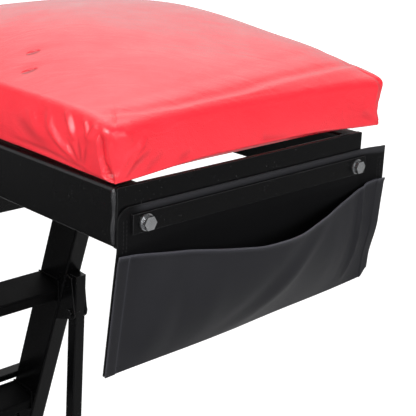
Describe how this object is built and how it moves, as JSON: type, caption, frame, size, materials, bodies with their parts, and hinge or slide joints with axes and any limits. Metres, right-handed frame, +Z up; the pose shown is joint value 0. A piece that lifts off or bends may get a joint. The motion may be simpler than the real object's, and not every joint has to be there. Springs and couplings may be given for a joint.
{
  "type": "topside engine creeper",
  "caption": "Padded level deck with a tool pouch on a leaning ladder with telescoping posts, braces and a low wheeled tube base, for lying over an engine bay; the ladder folds flat.",
  "frame": {"origin": "on the floor under the middle of the overall box", "axes": "+X towards the user's left when facing the head end, +Y from the deck's head end towards the ladder and the user, +Z up"},
  "size_m": [0.706, 1.4738, 1.328],
  "materials": {
    "black_steel": "satin",
    "zinc": "satin",
    "red_vinyl": "satin",
    "black_cloth": "matte",
    "black_plastic": "matte",
    "wheel_rubber": "matte",
    "plywood": "matte"
  },
  "bodies": {
    "base": {"front_cross_tube": "black_steel", "rear_cross_tube": "black_steel", "left_base_rail": "black_steel", "right_base_rail": "black_steel", "base_end_caps": "black_plastic", "left_foot_bracket": "black_steel", "right_foot_bracket": "black_steel", "foot_bolts": "zinc", "left_brace_socket": "black_steel", "right_brace_socket": "black_steel", "caster_plates": "zinc", "caster_plate_bolts": "zinc"},
    "ladder": {"left_stile": "black_steel", "right_stile": "black_steel", "rung_1": "black_steel", "rung_2": "black_steel", "rung_3": "black_steel", "top_bar": "black_steel", "rear_tie_bar": "black_steel", "left_brace_bracket": "black_steel", "right_brace_bracket": "black_steel", "brace_bolts": "black_steel", "stile_collars": "black_plastic"},
    "posts": {"left_post": "black_steel", "right_post": "black_steel", "post_tie": "black_steel"},
    "deck": {"left_deck_rail": "black_steel", "right_deck_rail": "black_steel", "head_member": "black_steel", "rear_member": "black_steel", "front_inner_member": "black_steel", "rear_inner_member": "black_steel", "left_deck_bracket": "black_steel", "right_deck_bracket": "black_steel", "deck_bolts": "zinc", "pad_board": "plywood", "pad_spacers": "black_plastic", "pad_screws": "zinc", "pad": "red_vinyl", "pouch": "black_cloth", "clamp_strip": "black_steel", "pouch_bolts": "zinc"},
    "left_brace": {"left_brace": "black_steel"},
    "left_height_pin": {"left_height_pin": "zinc"},
    "left_brace_pin": {"left_brace_pin": "zinc"},
    "left_brake_pedal": {"left_brake_pedal": "zinc"},
    "right_brace": {"right_brace": "black_steel"},
    "right_height_pin": {"right_height_pin": "zinc"},
    "right_brace_pin": {"right_brace_pin": "zinc"},
    "right_brake_pedal": {"right_brake_pedal": "zinc"},
    "front_left_fork": {"front_left_fork": "zinc"},
    "front_left_wheel": {"front_left_wheel": "wheel_rubber"},
    "front_right_fork": {"front_right_fork": "zinc"},
    "front_right_wheel": {"front_right_wheel": "wheel_rubber"},
    "rear_left_fork": {"rear_left_fork": "zinc"},
    "rear_left_wheel": {"rear_left_wheel": "wheel_rubber"},
    "rear_right_fork": {"rear_right_fork": "zinc"},
    "rear_right_wheel": {"rear_right_wheel": "wheel_rubber"}
  },
  "joints": [
    {"name": "ladder_fold", "type": "hinge", "parent": "base", "child": "ladder", "pos_m": [0, 0.56575, 0.237], "axis": [1, 0, 0], "range_deg": [0, 70]},
    {"name": "height_slide", "type": "slide", "parent": "ladder", "child": "posts", "axis": [0, -0.3256, 0.9455], "range_m": [0, 0.285]},
    {"name": "deck_level", "type": "hinge", "parent": "posts", "child": "deck", "pos_m": [0, 0.26205, 1.119], "axis": [1, 0, 0], "range_deg": [-70, 0]},
    {"name": "left_brace_swing", "type": "hinge", "parent": "ladder", "child": "left_brace", "pos_m": [0.162, 0.30521, 0.81552], "axis": [1, 0, 0], "range_deg": [0, 17.5]},
    {"name": "left_brace_pin_push", "type": "slide", "parent": "base", "child": "left_brace_pin", "axis": [-1, 0, 0], "range_m": [0, 0.024]},
    {"name": "left_height_pin_pull", "type": "slide", "parent": "ladder", "child": "left_height_pin", "axis": [1, 0, 0], "range_m": [0, 0.035]},
    {"name": "right_brace_swing", "type": "hinge", "parent": "ladder", "child": "right_brace", "pos_m": [-0.162, 0.30521, 0.81552], "axis": [1, 0, 0], "range_deg": [0, 17.5]},
    {"name": "right_brace_pin_push", "type": "slide", "parent": "base", "child": "right_brace_pin", "axis": [1, 0, 0], "range_m": [0, 0.024]},
    {"name": "right_height_pin_pull", "type": "slide", "parent": "ladder", "child": "right_height_pin", "axis": [-1, 0, 0], "range_m": [0, 0.035]},
    {"name": "front_left_swivel", "type": "hinge", "parent": "base", "child": "front_left_fork", "pos_m": [0.314, -0.69925, 0.113], "axis": [0, 0, 1], "continuous": true},
    {"name": "front_left_roll", "type": "hinge", "parent": "front_left_fork", "child": "front_left_wheel", "pos_m": [0.314, -0.66325, 0.05], "axis": [1, 0, 0], "continuous": true},
    {"name": "front_right_swivel", "type": "hinge", "parent": "base", "child": "front_right_fork", "pos_m": [-0.314, -0.69925, 0.113], "axis": [0, 0, 1], "continuous": true},
    {"name": "front_right_roll", "type": "hinge", "parent": "front_right_fork", "child": "front_right_wheel", "pos_m": [-0.314, -0.66325, 0.05], "axis": [1, 0, 0], "continuous": true},
    {"name": "rear_left_swivel", "type": "hinge", "parent": "base", "child": "rear_left_fork", "pos_m": [0.314, 0.65075, 0.113], "axis": [0, 0, 1], "continuous": true},
    {"name": "rear_left_roll", "type": "hinge", "parent": "rear_left_fork", "child": "rear_left_wheel", "pos_m": [0.314, 0.68675, 0.05], "axis": [1, 0, 0], "continuous": true},
    {"name": "rear_right_swivel", "type": "hinge", "parent": "base", "child": "rear_right_fork", "pos_m": [-0.314, 0.65075, 0.113], "axis": [0, 0, 1], "continuous": true},
    {"name": "rear_right_roll", "type": "hinge", "parent": "rear_right_fork", "child": "rear_right_wheel", "pos_m": [-0.314, 0.68675, 0.05], "axis": [1, 0, 0], "continuous": true},
    {"name": "left_brake_press", "type": "hinge", "parent": "rear_left_fork", "child": "left_brake_pedal", "pos_m": [0.314, 0.71097, 0.10193], "axis": [-1, 0, 0], "range_deg": [0, 20]},
    {"name": "right_brake_press", "type": "hinge", "parent": "rear_right_fork", "child": "right_brake_pedal", "pos_m": [-0.314, 0.71097, 0.10193], "axis": [-1, 0, 0], "range_deg": [0, 20]}
  ],
  "couplings": [
    {"joint": "deck_level", "follows": "ladder_fold", "ratio": -1},
    {"joint": "left_brace_swing", "follows": "ladder_fold", "ratio": 0.25},
    {"joint": "right_brace_swing", "follows": "ladder_fold", "ratio": 0.25}
  ]
}
